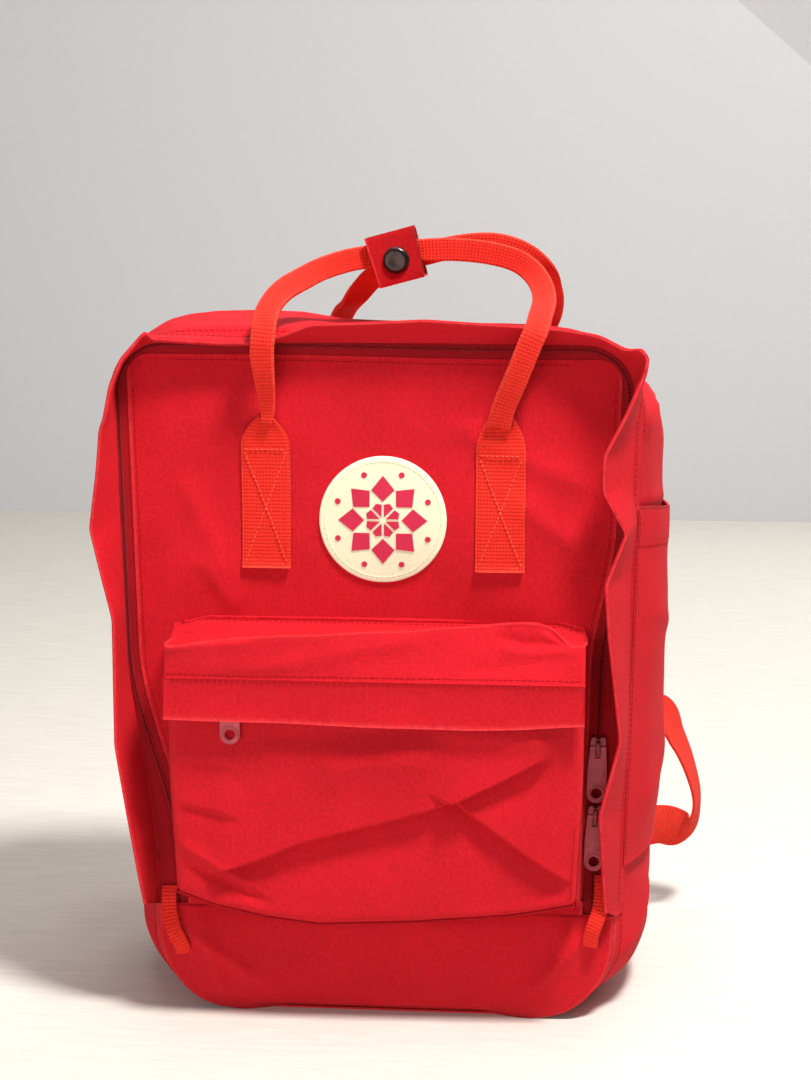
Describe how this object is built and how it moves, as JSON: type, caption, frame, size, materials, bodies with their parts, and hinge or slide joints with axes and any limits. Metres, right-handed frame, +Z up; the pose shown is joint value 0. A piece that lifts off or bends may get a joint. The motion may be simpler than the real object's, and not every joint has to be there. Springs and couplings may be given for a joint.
{
  "type": "canvas backpack",
  "caption": "Boxy soft canvas daypack with fold-down zip front, flapped pocket, twin handles joined by a snap keeper and shoulder straps.",
  "frame": {"origin": "middle of the flat base that the bag stands on", "axes": "+Z up through the handles, +X to the right seen from the front, the zip front faces -Y"},
  "size_m": [0.3474, 0.2448, 0.4353],
  "materials": {
    "canvas": "matte woven",
    "lining": "matte woven",
    "webbing": "coarse woven",
    "zip_tape": "matte woven",
    "zip_coil": "satin",
    "slider_metal": "satin",
    "pull_metal": "satin",
    "badge_print": "matte",
    "label_cloth": "matte",
    "snap_cap": "gloss",
    "snap_brass": "satin",
    "adjuster_plastic": "gloss",
    "foam": "matte closed-cell foam"
  },
  "bodies": {
    "bag_body": {"gusset": "canvas", "base_panel": "canvas", "back_panel": "canvas", "storm_flap": "canvas", "gusset_zip_tape": "zip_tape", "gusset_zip_coil": "zip_coil", "side_pocket_left": "canvas", "side_pocket_right": "canvas", "base_loop_left": "webbing", "base_loop_right": "webbing", "pad_sleeve": "lining", "name_label": "label_cloth", "seam_binding": "lining", "strap_top_anchor_left": "webbing", "strap_top_anchor_right": "webbing", "strap_bottom_tab_left": "webbing", "strap_bottom_tab_right": "webbing", "handle_patch_rear_left": "webbing", "handle_patch_rear_right": "webbing"},
    "front_panel": {"front_panel": "canvas", "panel_zip_coil": "zip_coil", "panel_zip_tape": "zip_tape", "badge": "badge_print", "pocket_body": "canvas", "pocket_top": "canvas", "pocket_zip_tape_lower": "zip_tape", "pocket_zip_coil_lower": "zip_coil", "pocket_zip_coil_upper": "zip_coil", "pocket_zip_tape_upper": "zip_tape", "handle_patch_front_left": "webbing", "handle_patch_front_right": "webbing"},
    "front_handle": {"front_handle": "webbing"},
    "rear_handle": {"rear_handle": "webbing", "keeper_wrap": "lining"},
    "keeper_outer_leaf": {"keeper_outer_leaf": "lining", "snap_cap": "snap_cap", "snap_socket": "snap_brass"},
    "keeper_inner_leaf": {"keeper_inner_leaf": "lining", "snap_stud": "snap_brass"},
    "pocket_flap": {"pocket_flap": "canvas"},
    "pocket_slider": {"pocket_slider": "slider_metal"},
    "pocket_pull": {"pocket_pull": "pull_metal"},
    "upper_slider": {"upper_slider": "slider_metal"},
    "upper_pull": {"upper_pull": "pull_metal"},
    "lower_slider": {"lower_slider": "slider_metal"},
    "lower_pull": {"lower_pull": "pull_metal"},
    "seat_pad": {"seat_pad": "foam"},
    "strap_left": {"shoulder_strap_left": "webbing"},
    "adjuster_left": {"strap_adjuster_left": "adjuster_plastic"},
    "strap_right": {"shoulder_strap_right": "webbing"},
    "adjuster_right": {"strap_adjuster_right": "adjuster_plastic"}
  },
  "joints": [
    {"name": "front_panel_fold", "type": "hinge", "parent": "bag_body", "child": "front_panel", "pos_m": [0, -0.0662, 0.06015], "axis": [1, 0, 0], "range_deg": [0, 95]},
    {"name": "front_handle_swing", "type": "hinge", "parent": "front_panel", "child": "front_handle", "pos_m": [0, -0.069, 0.3293], "axis": [1, 0, 0], "range_deg": [0, 130]},
    {"name": "rear_handle_swing", "type": "hinge", "parent": "bag_body", "child": "rear_handle", "pos_m": [0, 0.069, 0.3293], "axis": [-1, 0, 0], "range_deg": [0, 110]},
    {"name": "keeper_outer_leaf_open", "type": "hinge", "parent": "rear_handle", "child": "keeper_outer_leaf", "pos_m": [-0.00104, -0.0108, 0.43168], "axis": [-0.9781, 0, -0.2079], "range_deg": [0, 160]},
    {"name": "keeper_inner_leaf_open", "type": "hinge", "parent": "rear_handle", "child": "keeper_inner_leaf", "pos_m": [0.00504, -0.007, 0.40312], "axis": [0.9781, 0, 0.2079], "range_deg": [-5, 100]},
    {"name": "pocket_flap_lift", "type": "hinge", "parent": "front_panel", "child": "pocket_flap", "pos_m": [0, -0.1014, 0.19985], "axis": [-1, 0, 0], "range_deg": [0, 110]},
    {"name": "pocket_slider_travel", "type": "slide", "parent": "front_panel", "child": "pocket_slider", "axis": [1, 0, 0], "range_m": [0, 0.16]},
    {"name": "pocket_pull_swing", "type": "hinge", "parent": "pocket_slider", "child": "pocket_pull", "pos_m": [-0.07982, -0.09785, 0.194], "axis": [0, 1, 0], "range_deg": [-75, 75]},
    {"name": "upper_slider_travel", "type": "slide", "parent": "bag_body", "child": "upper_slider", "axis": [0.0209, 0, 0.9998], "range_m": [0, 0.165]},
    {"name": "lower_slider_travel", "type": "slide", "parent": "bag_body", "child": "lower_slider", "axis": [0.0209, 0, 0.9998], "range_m": [-0.028, 0]},
    {"name": "upper_pull_swing", "type": "hinge", "parent": "upper_slider", "child": "upper_pull", "pos_m": [0.11699, -0.06865, 0.157], "axis": [-0.9998, 0, 0.0209], "range_deg": [0, 150]},
    {"name": "lower_pull_swing", "type": "hinge", "parent": "lower_slider", "child": "lower_pull", "pos_m": [0.11617, -0.06865, 0.118], "axis": [-0.9998, 0, 0.0209], "range_deg": [0, 150]},
    {"name": "strap_left_swing", "type": "hinge", "parent": "bag_body", "child": "strap_left", "pos_m": [-0.024, 0.0692, 0.33], "axis": [-0.2998, 0, -0.954], "range_deg": [-45, 45]},
    {"name": "strap_right_swing", "type": "hinge", "parent": "bag_body", "child": "strap_right", "pos_m": [0.024, 0.0692, 0.33], "axis": [-0.2998, 0, 0.954], "range_deg": [-12, 80]},
    {"name": "adjuster_left_slide", "type": "slide", "parent": "strap_left", "child": "adjuster_left", "axis": [-0.4035, 0.2034, -0.8921], "range_m": [-0.04, 0.04]},
    {"name": "adjuster_right_slide", "type": "slide", "parent": "strap_right", "child": "adjuster_right", "axis": [0.4928, 0.1029, -0.864], "range_m": [-0.04, 0.04]},
    {"name": "seat_pad_lift", "type": "slide", "parent": "bag_body", "child": "seat_pad", "axis": [0, 0, 1], "range_m": [0, 0.04]}
  ],
  "couplings": [
    {"joint": "keeper_inner_leaf_open", "follows": "keeper_outer_leaf_open", "ratio": 0.5}
  ]
}
